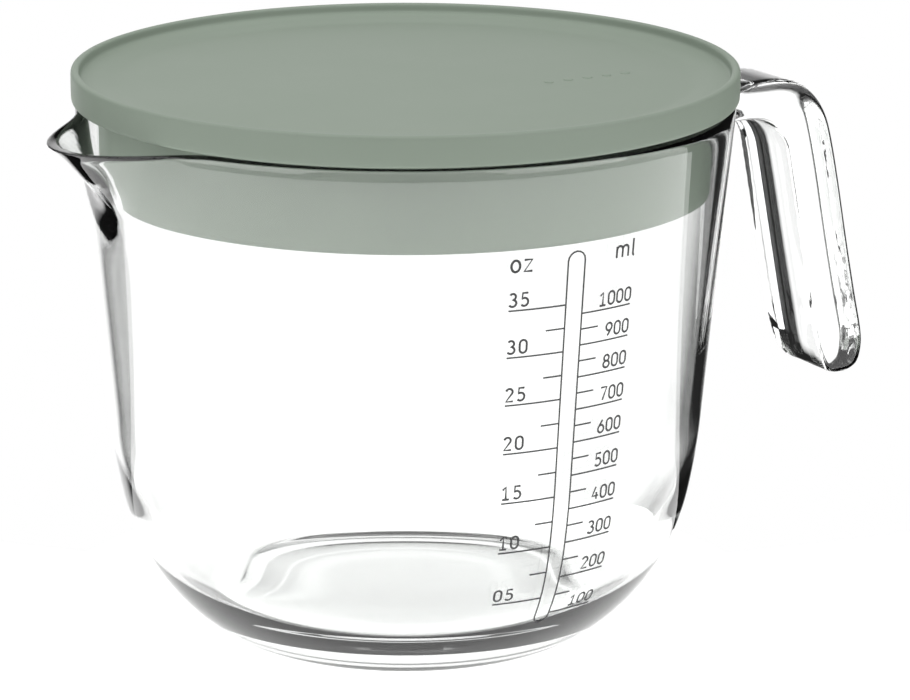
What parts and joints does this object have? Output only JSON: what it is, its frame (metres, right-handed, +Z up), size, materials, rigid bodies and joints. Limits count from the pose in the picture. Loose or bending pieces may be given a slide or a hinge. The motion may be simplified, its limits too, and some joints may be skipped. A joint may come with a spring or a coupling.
{
  "type": "lidded measuring and mixing bowl",
  "caption": "Clear rigid plastic mixing bowl with a pouring spout, a bar handle, printed millilitre and ounce scales, and a plug-in lid with a raised lip.",
  "frame": {"origin": "centre of the flat face the bowl stands on, on the bowl's own axis", "axes": "+Z up along the bowl's axis, +X towards the handle, -X towards the spout, -Y towards the middle of the printed scales"},
  "size_m": [0.2088, 0.148, 0.1272],
  "materials": {
    "clear_plastic": "polished clear rigid plastic",
    "lid_plastic": "fine satin sage green",
    "print_ink": "thin dark grey print"
  },
  "bodies": {
    "bowl": {"bowl": "clear_plastic", "level_window": "print_ink", "ml_lines": "print_ink", "oz_lines": "print_ink", "ml_figures": "print_ink", "oz_figures": "print_ink"},
    "lid": {"lid": "lid_plastic"}
  },
  "joints": [
    {"name": "lid_lift", "type": "slide", "parent": "bowl", "child": "lid", "axis": [0, 0, 1], "range_m": [0, 0.06]}
  ]
}
